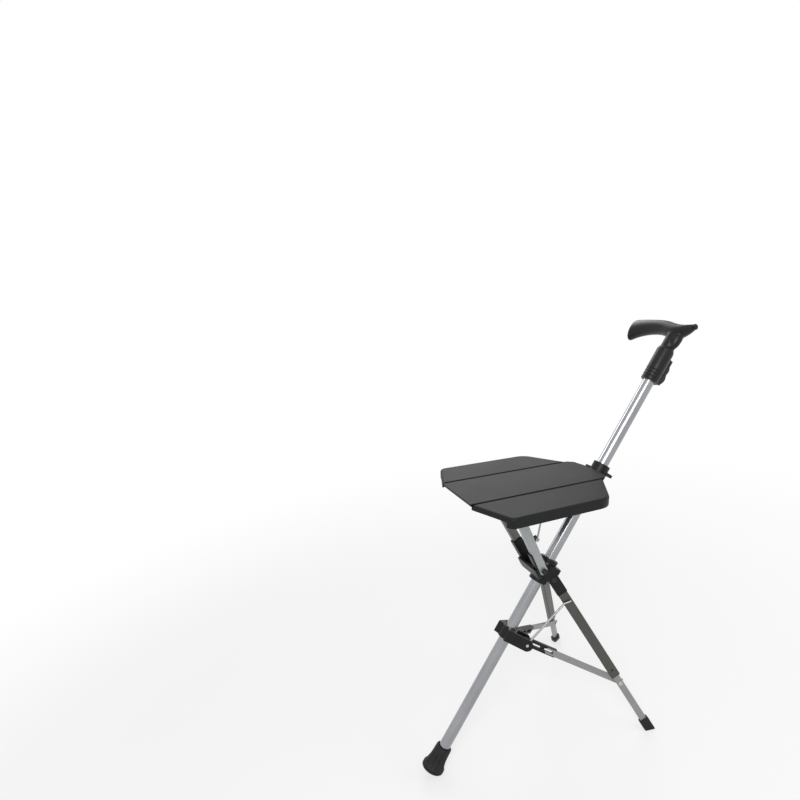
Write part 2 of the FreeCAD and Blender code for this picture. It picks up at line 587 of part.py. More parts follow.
yoke_back = half_deep + shoe_wall
yoke_half = mm("bar_foot_y") + half_wide + 1.5
node("bar_yoke", rounded("Yoke", block(
    "YokeBlock", BARS, (yoke_back, -yoke_half, shoe_foot + 0.5), (yoke_back + 4, yoke_half, 13)),
    7.0, (9, 10, 11, 12)))
rod_reach = mm("seam_y") - 1.6
node("top_rod", cylinder("TopRod", at(TOP_ROD, y=-rod_reach, turn=ALONG_Y), "Sizes.pin_od / 2",
                         str(2 * rod_reach)))

# Seat stays: thin wires that hinge behind the bars and prop the seat's underside.

EYE_PROUD = 0.2
stay_up = mm("stay_share") * BAR_LONG
stay_y = mm("bar_foot_y") + stay_up * math.tan(math.radians(splay_angle))
stay_back = -half_deep - 4.0
STAY_PIN = at(BARS, x=stay_back, y=stay_y, z=stay_up)
pair("stay_bracket", fuse(
    "StayBracket",
    block("StayBracketBlock", BAR_NEAR, (stay_back - 3, -4, stay_up - 4), (-half_deep, -0.2, stay_up + 5)),
    cylinder("StayBracketPin", at(STAY_PIN, y=-3, turn=ALONG_Y), "1.5", "7.5")))
stay_start = STAY_PIN.multVec(Vector(0, 2.8, 0))
stay_target = SEAT.multVec(Vector(100, stay_y + 2.8, mm("deck_top") - mm("deck_thick") - 1.8))
stay_rise = stay_target - stay_start
STAY_LONG = stay_rise.Length
half_eye = mm("stay_wire") / 2 + EYE_PROUD
stay_direction = Vector(stay_rise.x, 0, stay_rise.z).normalize()
STAY = frame(stay_start, stay_direction.cross(NEAR).negative(), stay_direction)
pair("seat_stay", cut(
    "Stay",
    fuse("StayBlank",
         cylinder("StayEye", at(STAY, y=-half_eye, turn=ALONG_Y), "3.4", str(2 * half_eye)),
         cylinder("StayWire", at(STAY, z=2), "Sizes.stay_wire / 2", str(STAY_LONG - 2))),
    cylinder("StayHole", at(STAY, y=-4, turn=ALONG_Y), "1.55", "8")))

# Seat: a middle board on ribs, two side boards hinged along its edges, and the brackets of its hinges.

deck_top = mm("deck_top")
deck_low = deck_top - mm("deck_thick")
seam_y = mm("seam_y")
seam_high = deck_top - 2.6
BARREL = mm("barrel_od") / 2
barrel_long = mm("barrel_long")
half_rib = mm("rib_thick") / 2
pin_radius = mm("seam_pin") / 2
barrel_starts = (28.0, 178.0)
middle_body = body_at("MiddleBody", SEAT)
middle_sketch = sketch_on(middle_body, "MiddleOutline", "XY_Plane", lift=deck_low)
edge = "Sizes.seam_y - Sizes.running_gap"
polygon(middle_sketch, [
    ("Sizes.deck_front", edge), ("15 - Sizes.deck_rear", edge), ("5 - Sizes.deck_rear", edge + " - 8"),
    ("-Sizes.deck_rear + 1", 20.0), ("-Sizes.deck_rear + 1", -20.0),
    ("5 - Sizes.deck_rear", "-(%s) + 8" % edge), ("15 - Sizes.deck_rear", "-(%s)" % edge),
    ("Sizes.deck_front", "-(%s)" % edge)])
pad(middle_body, middle_sketch, "MiddleBoard", "Sizes.deck_thick")
ribs = [block("Rib%d" % count, SEAT, (27, place - half_rib, deck_low - mm("rib_deep")),
              (mm("deck_front") - 14, place + half_rib, deck_low)) for count, place in enumerate((-24, -8, 8, 24))]
ribs += [block("CrossRib%d" % count, SEAT, (place - half_rib, -25, deck_low - mm("rib_deep")),
               (place + half_rib, 25, deck_low)) for count, place in enumerate((28, 90, mm("deck_front") - 15))]


def seam(name, side, start, long, radius):
    return cylinder(name, at(SEAT, x=start, y=side * seam_y, z=seam_high, turn=ALONG_X), str(radius), str(long))


barrels, barrel_room, seam_holes = [], [], []
side_barrels, side_room, side_holes = [], [], []
seam_pins = []
step = barrel_long + gap
for count, start in enumerate(barrel_starts):
    for side, name in ((1, "Near"), (-1, "Far")):
        tag = "%s%d" % (name, count)
        barrels.append(seam("MiddleBarrelA" + tag, side, start, barrel_long, BARREL))
        barrels.append(seam("MiddleBarrelB" + tag, side, start + 2 * step, barrel_long, BARREL))
        barrel_room.append(seam("BarrelRoom" + tag, side, start + step - gap, barrel_long + 2 * gap,
                                BARREL + gap))
        seam_holes.append(seam("SeamHole" + tag, side, start - 1, 3 * step + 2, pin_radius + mm("pin_gap")))
    tag = "Side%d" % count
    side_barrels.append(seam("SideBarrel" + tag, 1, start + step, barrel_long, BARREL))
    side_room.append(seam("SideRoomA" + tag, 1, start - gap, barrel_long + 2 * gap, BARREL + gap))
    side_room.append(seam("SideRoomB" + tag, 1, start + 2 * step - gap, barrel_long + 2 * gap, BARREL + gap))
    side_holes.append(seam("SideHole" + tag, 1, start - 1, 3 * step + 2, pin_radius + mm("pin_gap")))
    seam_pins.append(seam("SeamPin" + tag, 1, start, 3 * step - gap, pin_radius))
rod_room = cylinder("RodRoom", at(SEAT, x=HINGE_APART, y=-60, z=offset, turn=ALONG_Y), "4", "120")
middle_blank = cut("MiddleNotched", fuse("MiddleRibbed", middle_body, *ribs), *barrel_room)
node("seat_middle", cut("SeatMiddle", fuse("MiddleWithBarrels", middle_blank, *barrels), rod_room, *seam_holes))
pair("seam_pins", fuse("SeamPins", *seam_pins))

lug_side = mm("bar_head_y") - half_wide - 1.5
lug_thick = mm("lug_thick")
lug_round = mm("lug_round")
plate_low = deck_low - mm("bracket_thick")
pair("front_bracket", cut(
    "FrontBracket",
    fuse("FrontBracketBlank",
         block("FrontBracketPlate", SEAT, (HINGE_APART - 3 * lug_round, lug_side - lug_thick - 4, plate_low),
               (HINGE_APART + 3 * lug_round, lug_side - 2, deck_low)),
         block("FrontBracketLug", SEAT, (HINGE_APART - lug_round, lug_side - lug_thick, offset),
               (HINGE_APART + lug_round, lug_side, deck_low)),
         cylinder("FrontBracketEye", at(SEAT, x=HINGE_APART, y=lug_side - lug_thick, z=offset, turn=ALONG_Y),
                  "Sizes.lug_round", "Sizes.lug_thick")),
    cylinder("FrontBracketHole", at(SEAT, x=HINGE_APART, y=0, z=offset, turn=ALONG_Y),
             "Sizes.pin_od / 2 + Sizes.pin_gap", "60")))
rear_side = mm("rear_lug_start")
pair("rear_bracket", cut(
    "RearBracket",
    fuse("RearBracketBlank",
         block("RearBracketPlate", SEAT, (-lug_round - 1, rear_side, plate_low),
               (4 * lug_round, rear_side + lug_thick, deck_low)),
         block("RearBracketLug", SEAT, (-lug_round, rear_side, 0), (lug_round, rear_side + lug_thick - 0.5, deck_low)),
         cylinder("RearBracketEye", at(SEAT, y=rear_side, turn=ALONG_Y), "Sizes.lug_round", "Sizes.lug_thick - 0.5")),
    cylinder("RearBracketHole", at(SEAT, turn=ALONG_Y), "Sizes.pin_od / 2 + Sizes.pin_gap", "60")))

# Side board: swept front and rear edges, rounded outer corners, and a skirt that stiffens the rim.

board_in = seam_y + mm("seam_gap")
board_wide = mm("side_wide")
board_out = board_in + board_wide
board_front = mm("deck_front")
board_corner = board_front - mm("side_swept")
board_rear = mm("side_rear")
skirt_wall = mm("skirt_wall")
skirt_low = deck_top - mm("skirt_deep")


def board_prism(inset, inner_edge, low, high):
    """The board's outline, drawn in by inset on its three free edges, as a prism with round corners."""
    corners = []
    for out, way, start, swept in ((inner_edge, 1, board_rear, mm("rear_swept")),
                                   (board_out - inset, 1, board_rear, mm("rear_swept")),
                                   (board_out - inset, -1, board_front, -mm("side_swept")),
                                   (inner_edge, -1, board_front, -mm("side_swept"))):
        slant = math.hypot(swept, board_wide) / board_wide
        corners.append(Vector(start + (out - board_in) * swept / board_wide + way * inset * slant, out, low))
    outline = Part.Wire(Part.makePolygon(corners + corners[:1]))
    shape = Part.Face(outline).extrude(Vector(0, 0, high - low))
    for corner, radius in ((corners[1], mm("rear_round")), (corners[2], mm("front_round"))):
        upright = [edge for edge in shape.Edges if edge.Length > 0
                   and abs(edge.CenterOfMass.x - corner.x) < 0.01 and abs(edge.CenterOfMass.y - corner.y) < 0.01]
        shape = shape.makeFillet(radius - inset, upright)
    return shape


board_shape = board_prism(0, board_in, skirt_low, deck_top)
rim = [edge for edge in board_shape.Edges
       if edge.BoundBox.ZMin > deck_top - 0.1 and edge.CenterOfMass.y > board_in + 1]
board_shape = board_shape.makeFillet(mm("edge_round"), rim)
board_shape = board_shape.cut(board_prism(skirt_wall, board_in - 20, skirt_low - 1, deck_low))
band_low = deck_top - 7.5
front_cut = Part.Wire(Part.makePolygon([
    Vector(board_front + 5, board_in - 5, skirt_low - 1), Vector(board_front - 12, board_in - 5, skirt_low - 1),
    Vector(board_corner - 10, board_out - 12, skirt_low - 1),
    Vector(board_corner + 12, board_out - 9, skirt_low - 1),
    Vector(board_front + 5, board_in - 5, skirt_low - 1)]))
band_cut = Vector(0, 0, band_low - skirt_low + 1)
board_shape = board_shape.cut(Part.Face(front_cut).extrude(band_cut))
rear_cut = Part.Wire(Part.makePolygon([
    Vector(-20, board_in - 5, skirt_low - 1), Vector(board_rear + 18, board_in - 5, skirt_low - 1),
    Vector(board_rear + 18, board_in + 9, skirt_low - 1), Vector(-20, board_in + 9, skirt_low - 1),
    Vector(-20, board_in - 5, skirt_low - 1)]))
board_shape = board_shape.cut(Part.Face(rear_cut).extrude(band_cut))
board = solid("BoardShape", board_shape, SEAT)
pair("seat_side", cut("SideBoard", fuse("BoardWithBarrels", cut("BoardNotched", board, *side_room),
                                        *side_barrels), *side_holes))

# Clip ring: rides on the tube, carries the seat's rear hinge on two arms and has two finger wings.

half_ring = mm("ring_long") / 2
arm_y = mm("ring_arm_start")
arm_thick = mm("ring_arm_thick")
hinge_low = -mm("ring_to_hinge")
hinge_forward = mm("rear_hinge_forward")
arms = []
for side, low_side in (("Near", arm_y), ("Far", -arm_y - arm_thick)):
    arms.append(block("Arm%s" % side, RING, (7.5, low_side, hinge_low),
                      (17.8, low_side + arm_thick, hinge_low + 17)))
    arms.append(cylinder("ArmEye%s" % side, at(RING, x=hinge_forward, y=low_side, z=hinge_low, turn=ALONG_Y),
                         "5.5", "Sizes.ring_arm_thick"))
half_span = mm("wing_span") / 2
wings = rounded("WingsRounded", block("Wings", RING, (-6, -half_span, -2.7), (6, half_span, 2.7)), 2.4,
                (1, 3, 5, 7, 9, 10, 11, 12))
node("clip_ring", cut(
    "ClipRing",
    fuse("ClipRingBlank", wings, *arms,
         cylinder("ClipRingOuter", at(RING, z=-half_ring), "Sizes.tube_od / 2 + Sizes.ring_gap + Sizes.ring_wall",
                  "Sizes.ring_long")),
    cylinder("ClipRingBore", at(RING, z=-60), "Sizes.tube_od / 2 + Sizes.ring_gap", "120"),
    cylinder("ClipPinHole", at(RING, x=hinge_forward, y=-40, z=hinge_low, turn=ALONG_Y),
             "Sizes.pin_od / 2", "80")))
clip_reach = rear_side + lug_thick + 0.1
node("clip_pin", fuse(
    "ClipPin",
    cylinder("ClipPinShank", at(RING, x=hinge_forward, y=-clip_reach, z=hinge_low, turn=ALONG_Y),
             "Sizes.pin_od / 2", str(2 * clip_reach)),
    cylinder("ClipPinHead", at(RING, x=hinge_forward, y=clip_reach, z=hinge_low, turn=ALONG_Y), "4.4", "1.6"),
    cylinder("ClipPinTail", at(RING, x=hinge_forward, y=-clip_reach - 1.6, z=hinge_low, turn=ALONG_Y),
             "4.4", "1.6")))

# Rear legs: a flat tube under a moulded knuckle, with a thinner tube and a rubber foot below.

half_leg = mm("leg_deep") / 2
half_side = mm("leg_wide") / 2
knuckle_end = -mm("knuckle_long")
hollow_deep = half_leg - mm("leg_wall")
hollow_side = half_side - mm("leg_wall")
pair("leg_knuckle", cut(
    "Knuckle",
    fuse("KnuckleBlank",
         rounded("KnuckleRounded", block("KnuckleBlock", LEG, (-knuckle_radius, -half_side, knuckle_end),
                                         (knuckle_radius, half_side, 0)), 2.0, (2, 4, 6, 8)),
         cylinder("KnuckleHead", at(LEG, y=-half_side, turn=ALONG_Y), str(knuckle_radius), "Sizes.leg_wide"),
         block("KnuckleSpigot", LEG, (-hollow_deep + 0.1, -hollow_side + 0.1, knuckle_end - 18),
               (hollow_deep - 0.1, hollow_side - 0.1, knuckle_end))),
    cylinder("KnuckleHole", at(LEG, y=-20, turn=ALONG_Y), "Sizes.pin_od / 2 + Sizes.pin_gap", "40")))
tube_end = -mm("leg_tube_long")
pair("leg_tube", cut(
    "LegTube",
    rounded("LegTubeRounded", block("LegTubeBlock", LEG, (-half_leg, -half_side, tube_end),
                                    (half_leg, half_side, knuckle_end)), 2.4, (1, 3, 5, 7)),
    block("LegTubeHollow", LEG, (-hollow_deep, -hollow_side, tube_end - 1),
          (hollow_deep, hollow_side, knuckle_end + 1)),
    cylinder("LegTubeHole", at(LEG, y=-20, z=tube_end + 14, turn=ALONG_Y), "2", "18")))
lower_half = mm("lower_leg_deep") / 2
lower_side = mm("lower_leg_wide") / 2
leg_end = -LEG_LONG + mm("foot_floor")
rivet_down = -mm("leg_rivet")
pair("leg_lower", cut(
    "LegLower",
    rounded("LegLowerRounded", block("LegLowerBlock", LEG, (-lower_half, -lower_side, leg_end),
                                     (lower_half, lower_side, tube_end + 26)), 1.8, (1, 3, 5, 7)),
    cylinder("RivetHole", at(LEG, y=-20, z=rivet_down, turn=ALONG_Y), "Sizes.rivet_od / 2", "40"),
    cylinder("UpperRivetHole", at(LEG, y=-20, z=tube_end + 14, turn=ALONG_Y), "2", "40")))
pair("leg_rivet", fuse(
    "LegRivet",
    cylinder("LegRivetShank", at(LEG, y=-lower_side, z=rivet_down, turn=ALONG_Y), "Sizes.rivet_od / 2",
             "Sizes.lower_leg_wide / 2 + Sizes.leg_wide / 2"),
    cylinder("LegRivetHead", at(LEG, y=-lower_side - 1.2, z=rivet_down, turn=ALONG_Y),
             "Sizes.rivet_od / 2 + 1.5", "1.2")))
wall = mm("foot_wall")
foot_top = -LEG_LONG + mm("foot_long")
pair("leg_foot", cut(
    "LegFoot",
    rounded("LegFootRounded", block("LegFootBlock", LEG, (-lower_half - wall, -lower_side - wall, -LEG_LONG - 20),
                                    (lower_half + wall, lower_side + wall, foot_top)),
            2.2, (1, 3, 5, 6, 7, 8, 2, 4)),
    block("LegFootHollow", LEG, (-lower_half, -lower_side, leg_end), (lower_half, lower_side, foot_top + 1)),
    block("UnderFloorLeg", WORLD, (-80, -400, -80), (600, 400, 0))))

# Slider: a collar on the tube. Each side has a tongue for a strut and an outer arm for a brace rod.

half_slider = mm("slider_long") / 2
strut_out = mm("strut_out")
arm_in = -5.0
tongue_in = arm_in - gap
half_wire = mm("brace_wire") / 2
rod_side = leg_face_out + half_wire + EYE_PROUD
outer_low = rod_side + half_wire + EYE_PROUD + gap
outer_high = outer_low + mm("outer_arm_thick")
tongue_thick = mm("tongue_thick")
pin_from = leg_face_in - gap
tongue = fuse(
    "TongueNear",
    block("TonguePlate", SLIDER_SIDE, (4, -tongue_in, -half_slider),
          (strut_out, -tongue_in + tongue_thick, half_slider)),
    cylinder("TongueEye", at(SLIDER_SIDE, x=strut_out, y=-tongue_in, turn=ALONG_Y),
             "Sizes.slider_long / 2", "Sizes.tongue_thick"),
    block("OuterBridge", SLIDER_SIDE, (-7, -outer_high, -half_slider), (9.2, -7, half_slider)),
    block("OuterPlate", SLIDER_SIDE, (-7, -outer_high, -half_slider), (strut_out, -outer_low, half_slider)),
    cylinder("OuterEye", at(SLIDER_SIDE, x=strut_out, y=-outer_high, turn=ALONG_Y),
             "Sizes.slider_long / 2", "Sizes.outer_arm_thick"))
slider_room = block("SliderRoomNear", SLIDER_SIDE,
                    (mm("leg_out") - mm("leg_deep") / 2 - gap, -leg_face_out, -60), (80, -leg_face_in, 60))
strut_hole = cylinder("StrutPinHoleNear", at(SLIDER_SIDE, x=strut_out, y=-40, turn=ALONG_Y),
                      "Sizes.link_pin / 2", "60")
node("slider", cut(
    "Slider",
    fuse("SliderBlank", tongue, mirrored("TongueFar", tongue),
         cylinder("SliderCollar", at(SLIDER, z=-half_slider),
                  "Sizes.tube_od / 2 + Sizes.slider_gap + Sizes.slider_wall", "Sizes.slider_long")),
    cylinder("SliderBore", at(SLIDER, z=-60), "Sizes.tube_od / 2 + Sizes.slider_gap", "120"),
    slider_room, mirrored("SliderRoomFar", slider_room), strut_hole, mirrored("StrutPinHoleFar", strut_hole)))
pair("strut_pin", cylinder("StrutPin", at(SLIDER_SIDE, x=strut_out, y=-pin_from, turn=ALONG_Y),
                           "Sizes.link_pin / 2", str(pin_from - tongue_in + tongue_thick)))
pair("brace_pin", cylinder("BracePin", at(SLIDER_SIDE, x=strut_out, y=-outer_high, turn=ALONG_Y),
                           "Sizes.link_pin / 2", str(outer_high - rod_side + half_wire)))

# Struts: a black slotted arm on the slider's pin, and a flat strap from it to the leg's rivet.

strap_out = leg_face_in
strap_in = strap_out - mm("strut_thick")
half_arm = mm("arm_wide") / 2
arm_end = -mm("arm_long")
arm_blank = fuse(
    "StrutArmBlank",
    rounded("StrutArmRounded", block("StrutArmBlock", STRUT, (-half_arm, -strap_out, arm_end),
                                     (half_arm, -arm_in, 0)), 3.0, (2, 6)),
    cylinder("StrutArmEye", at(STRUT, y=-strap_out, turn=ALONG_Y), str(half_arm), str(strap_out - arm_in)))
half_slot = mm("arm_slot") / 2
slot_long = 18.0
slots = [block("ArmSlot%d" % count, STRUT, (-half_slot, -20, top - slot_long), (half_slot, 20, top))
         for count, top in enumerate((-12, arm_end + 23))]
strap_low = -STRUT_LONG - 6
half_strut = mm("strut_wide") / 2
pair("strut_arm", cut(
    "StrutArm", arm_blank, slots[0],
    cylinder("StrutArmHole", at(STRUT, y=-20, turn=ALONG_Y), "Sizes.link_pin / 2 + Sizes.pin_gap", "40"),
    rounded("SlotRounded", slots[1], 2.2, (2, 4, 6, 8)),
    block("StrapRoom", STRUT, (-half_strut, -strap_out - 1, arm_end - 1), (half_strut, -strap_in, arm_end + 20))))
pair("strut_strap", cut(
    "StrutStrap",
    rounded("StrapRounded", block("StrapBlock", STRUT, (-half_strut, -strap_out, strap_low),
                                  (half_strut, -strap_in, arm_end + 20)), 4.0, (2, 6)),
    cylinder("StrapHole", at(STRUT, y=-20, z=-STRUT_LONG, turn=ALONG_Y), "Sizes.rivet_od / 2 + 0.2", "40"),
    block("StrapSlot", STRUT, (-half_slot, -20, arm_end + 23 - slot_long), (half_slot, 20, arm_end + 23))))

# Brace rods: bent wires from the slider's outer arms up to the outer faces of the legs.

brace_y = -rod_side
pair("brace_rod", cut(
    "BraceRod",
    fuse("BraceBlank",
         cylinder("BraceEye", at(BRACE, y=brace_y - half_wire - EYE_PROUD, turn=ALONG_Y), "5",
                  str(2 * (half_wire + EYE_PROUD))),
         cylinder("BraceWire", at(BRACE, y=brace_y, z=4), "Sizes.brace_wire / 2", str(BRACE_LONG - 10)),
         cylinder("BraceTip", at(BRACE, y=brace_y, z=BRACE_LONG - 7, turn=Rotation(Vector(0, 1, 0), 28)),
                  "Sizes.brace_wire / 2", "12")),
    cylinder("BraceHole", at(BRACE, y=brace_y - 9, turn=ALONG_Y), "Sizes.link_pin / 2 + Sizes.pin_gap", "18")))

doc.recompute()
for piece in doc.Objects:
    if "Invalid" in piece.State or "Error" in piece.State:
        raise RuntimeError("%s did not recompute: %s" % (piece.Label, piece.State))
os.makedirs("parts", exist_ok=True)
for piece in NODES:
    if piece.Shape.isNull() or not piece.Shape.isValid():
        raise RuntimeError("%s has no valid shape" % piece.Label)
    if not piece.Shape.Solids:
        raise RuntimeError("%s has no solid" % piece.Label)
for piece in NODES:
    piece.Shape.exportStep("parts/%s.step" % piece.Label)
    print("%-24s %d solids, volume %.0f" % (piece.Label, len(piece.Shape.Solids), piece.Shape.Volume))
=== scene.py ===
import math

import bmesh
import bpy
from mathutils import Matrix, Vector


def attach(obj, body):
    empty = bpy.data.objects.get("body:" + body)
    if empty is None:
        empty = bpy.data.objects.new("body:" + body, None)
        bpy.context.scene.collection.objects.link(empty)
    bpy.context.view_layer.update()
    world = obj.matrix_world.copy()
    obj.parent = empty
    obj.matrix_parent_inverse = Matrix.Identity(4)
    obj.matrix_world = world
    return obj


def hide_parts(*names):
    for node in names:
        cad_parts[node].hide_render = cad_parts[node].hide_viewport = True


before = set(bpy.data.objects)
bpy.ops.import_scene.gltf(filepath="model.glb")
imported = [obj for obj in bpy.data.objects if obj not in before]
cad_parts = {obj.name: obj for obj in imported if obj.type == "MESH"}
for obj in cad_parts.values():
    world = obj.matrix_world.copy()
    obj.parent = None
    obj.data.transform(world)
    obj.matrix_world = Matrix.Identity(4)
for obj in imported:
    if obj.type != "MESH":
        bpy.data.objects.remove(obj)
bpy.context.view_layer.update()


# Camera: it looks down on the open stick seat from the sitter's front left, leaning a little to one
# side. The seat stands right of the picture's middle and below it, which the frame's shift takes up.

CAMERA_PLACE = Vector((-0.1293, -0.6534, 0.8104))
CAMERA_TURN = math.radians(26.2)
CAMERA_DOWN = math.radians(23.5)
CAMERA_ROLL = math.radians(-7.9)
CAMERA_LENS = 23.36
CAMERA_SHIFT = (-0.125, 0.1)
CAMERA_NEAREST = 0.01

forward = Vector((math.sin(CAMERA_TURN) * math.cos(CAMERA_DOWN),
                  math.cos(CAMERA_TURN) * math.cos(CAMERA_DOWN), -math.sin(CAMERA_DOWN)))
level_right = Vector((math.cos(CAMERA_TURN), -math.sin(CAMERA_TURN), 0))
level_up = level_right.cross(forward)
camera_right = level_right * math.cos(CAMERA_ROLL) + level_up * math.sin(CAMERA_ROLL)
camera_up = level_up * math.cos(CAMERA_ROLL) - level_right * math.sin(CAMERA_ROLL)
camera = bpy.data.objects.new("camera", bpy.data.cameras.new("camera"))
camera.data.lens = CAMERA_LENS
camera.data.shift_x, camera.data.shift_y = CAMERA_SHIFT
camera.data.clip_start = CAMERA_NEAREST
camera.matrix_world = Matrix.Translation(CAMERA_PLACE) @ Matrix(
    (camera_right, camera_up, -forward)).transposed().to_4x4()
bpy.context.scene.collection.objects.link(camera)
bpy.context.scene.camera = camera
bpy.context.scene.view_settings.view_transform = "Standard"


# Studio: a plain pale floor that takes the seat's shadow and goes over to white further out, a white
# sky, and three soft square lamps. The fill lamp isn't mirrored, so it leaves no streak on the tube.

FLOOR_REACH = 6.0
FLOOR_SEGMENTS = 96
FLOOR_COLOUR = (0.86, 0.86, 0.86, 1)
FLOOR_ROUGH = 0.9
GLOW_START, GLOW_END = 0.55, 1.6
GLOW_NEAR, GLOW_FAR = 0.62, 1.0
WHITE = (1, 1, 1, 1)
SKY_ON_OBJECT, SKY_SEEN = 0.45, 1.0
LAMP_AIM = Vector((0.25, 0, 0.35))
BEVEL_SAMPLES = 6


class Flow:
    """One output of a net's nodes. Sums written on it add Math nodes."""

    def __init__(self, net, output):
        self.net = net
        self.output = output

    def math(self, operation, first, second):
        return self.net.node("ShaderNodeMath", {"operation": operation}, {0: first, 1: second})

    def __add__(self, other):
        return self.math("ADD", self, other)

    def __radd__(self, other):
        return self.math("ADD", other, self)

    def __sub__(self, other):
        return self.math("SUBTRACT", self, other)

    def __rsub__(self, other):
        return self.math("SUBTRACT", other, self)

    def __mul__(self, other):
        return self.math("MULTIPLY", self, other)

    def __rmul__(self, other):
        return self.math("MULTIPLY", other, self)

    def __abs__(self):
        return self.net.node("ShaderNodeMath", {"operation": "ABSOLUTE"}, {0: self})

    def ramp(self, low, high, at_low=0.0, at_high=1.0):
        return self.net.node(
            "ShaderNodeMapRange", {"interpolation_type": "SMOOTHSTEP"},
            {"Value": self, "From Min": low, "From Max": high, "To Min": at_low, "To Max": at_high})


class Net:
    """A tree of shader nodes. Each is added by its type, its settings and its sockets."""

    def __init__(self, tree):
        self.tree = tree

    def node(self, kind, settings=None, sockets=None, output=0):
        made = self.tree.nodes.new(kind)
        for name, value in (settings or {}).items():
            setattr(made, name, value)
        for socket, value in (sockets or {}).items():
            if isinstance(value, Flow):
                self.tree.links.new(value.output, made.inputs[socket])
            else:
                made.inputs[socket].default_value = value
        return Flow(self, made.outputs[output])

    def join(self, flow, node, socket):
        self.tree.links.new(flow.output, self.tree.nodes[node].inputs[socket])

    def looked_at(self):
        """One where a ray comes from the camera, a mirror or glass, and nothing for other light."""
        return (self.node("ShaderNodeLightPath", output="Is Camera Ray")
                + self.node("ShaderNodeLightPath", output="Is Glossy Ray")
                + self.node("ShaderNodeLightPath", output="Is Transmission Ray"))


class Finish(Net):
    """A procedural material, with the shader that its nodes end in."""

    def __init__(self, name, **constants):
        self.material = bpy.data.materials.new(name)
        self.material.use_nodes = True
        super().__init__(self.material.node_tree)
        self.shader = self.tree.nodes["Principled BSDF"]
        for socket, number in constants.items():
            self.shader.inputs[socket.replace("_", " ")].default_value = number

    def feed(self, **flows):
        for socket, flow in flows.items():
            self.tree.links.new(flow.output, self.shader.inputs[socket.replace("_", " ")])

    def place(self, stretch=(1, 1, 1), axis=(0, 0, 1)):
        """The point on the object, turned so that axis becomes Z and then stretched."""
        point = self.node("ShaderNodeTexCoord", output="Object")
        turn = Vector(axis).rotation_difference(Vector((0, 0, 1))).to_euler()
        turned = self.node("ShaderNodeMapping", {"vector_type": "POINT"},
                           {"Vector": point, "Rotation": turn})
        return self.node("ShaderNodeMapping", {"vector_type": "POINT"},
                         {"Vector": turned, "Scale": stretch})

    def along(self, letter):
        """How far the point on the object lies along X, Y or Z."""
        return self.node("ShaderNodeSeparateXYZ", {}, {0: self.place()}, output=letter)

    def noise(self, point, scale, detail, rough):
        return self.node("ShaderNodeTexNoise", {}, {
            "Vector": point, "Scale": scale, "Detail": detail, "Roughness": rough})

    def blend(self, share, first, second):
        return self.node("ShaderNodeMix", {"data_type": "RGBA"}, {0: share, 6: first, 7: second}, output=2)

    def bump(self, height, depth, strength, edge=0.0):
        """A relief of that depth in metres, over edges that look worn round by the radius edge."""
        sockets = {"Height": height, "Distance": depth, "Strength": strength}
        if edge:
            sockets["Normal"] = self.node("ShaderNodeBevel", {"samples": BEVEL_SAMPLES}, {"Radius": edge})
        return self.node("ShaderNodeBump", {}, sockets)


floor_mesh = bpy.data.meshes.new("floor")
floor_shape = bmesh.new()
bmesh.ops.create_circle(floor_shape, cap_ends=True, segments=FLOOR_SEGMENTS, radius=FLOOR_REACH)
floor_shape.to_mesh(floor_mesh)
floor_shape.free()
floor = bpy.data.objects.new("floor", floor_mesh)
bpy.context.scene.collection.objects.link(floor)
floor_paint = Finish("floor_paint", Roughness=FLOOR_ROUGH, Base_Color=FLOOR_COLOUR)
from_centre = floor_paint.node("ShaderNodeVectorMath", {"operation": "LENGTH"},
                               {0: floor_paint.place()}, output="Value")
glow = floor_paint.node("ShaderNodeEmission", {}, {"Color": WHITE, "Strength": 1.0})
glow_share = floor_paint.looked_at() * from_centre.ramp(GLOW_START, GLOW_END, GLOW_NEAR, GLOW_FAR)
lit = floor_paint.node("ShaderNodeMixShader", {}, {
    0: glow_share, 1: Flow(floor_paint, floor_paint.shader.outputs[0]), 2: glow})
floor_paint.join(lit, "Material Output", "Surface")
floor_mesh.materials.append(floor_paint.material)

world = bpy.data.worlds.new("studio")
world.use_nodes = True
bpy.context.scene.world = world
sky = Net(world.node_tree)
sky.tree.nodes["Background"].inputs["Color"].default_value = WHITE
sky.join(SKY_ON_OBJECT + sky.looked_at() * (SKY_SEEN - SKY_ON_OBJECT), "Background", "Strength")

for name, place, size, power, mirrored in (("key", (-0.7, -1.5, 1.9), 1.1, 26.0, True),
                                           ("fill", (1.6, -1.2, 1.0), 1.3, 9.0, False),
                                           ("back", (0.9, 1.5, 1.6), 1.2, 12.0, True)):
    lamp = bpy.data.objects.new(name, bpy.data.lights.new(name, "AREA"))
    lamp.data.shape = "SQUARE"
    lamp.data.size = size
    lamp.data.energy = power
    lamp.location = place
    lamp.visible_glossy = mirrored
    lamp.rotation_euler = (LAMP_AIM - Vector(place)).to_track_quat("-Z", "Y").to_euler()
    bpy.context.scene.collection.objects.link(lamp)


# Stick: one drawn aluminium tube, polished and clear anodised, with a groove rolled along its
# front. The clip ring and the slider run on it and leave fine scuffs round it.

STICK_UP = Vector((0.66913, 0, 0.74314))
STICK_FRONT = Vector((-0.74314, 0, 0.66913))
STICK_FOOT = Vector((-0.014548, 0, 0.010383))
MM = 0.001
TUBE_RADIUS = 10.0
TUBE_WALL = 1.5
TUBE_LOW, TUBE_HIGH = 12.0, 800.0
TUBE_SEGMENTS = 160
TUBE_KEEN = 25.0
GROOVE_RADIUS = 1.3
TUBE_GLOSS = 0.2
TUBE_SCUFF = 0.6
DIE_LINES, DIE_STRETCH = 1900.0, (1, 1, 0.012)
DIE_DEPTH, DIE_STRENGTH = 0.000008, 0.35
STAINS, STAIN_STRETCH = 45.0, (1, 1, 0.5)
SCUFFS, SCUFF_STRETCH = 900.0, (0.03, 0.03, 1)
DIE_SHADE, STAIN_SHADE = 0.3, 0.5
DIE_ROUGH, STAIN_ROUGH, SCUFF_ROUGH = 0.08, 0.1, 0.25
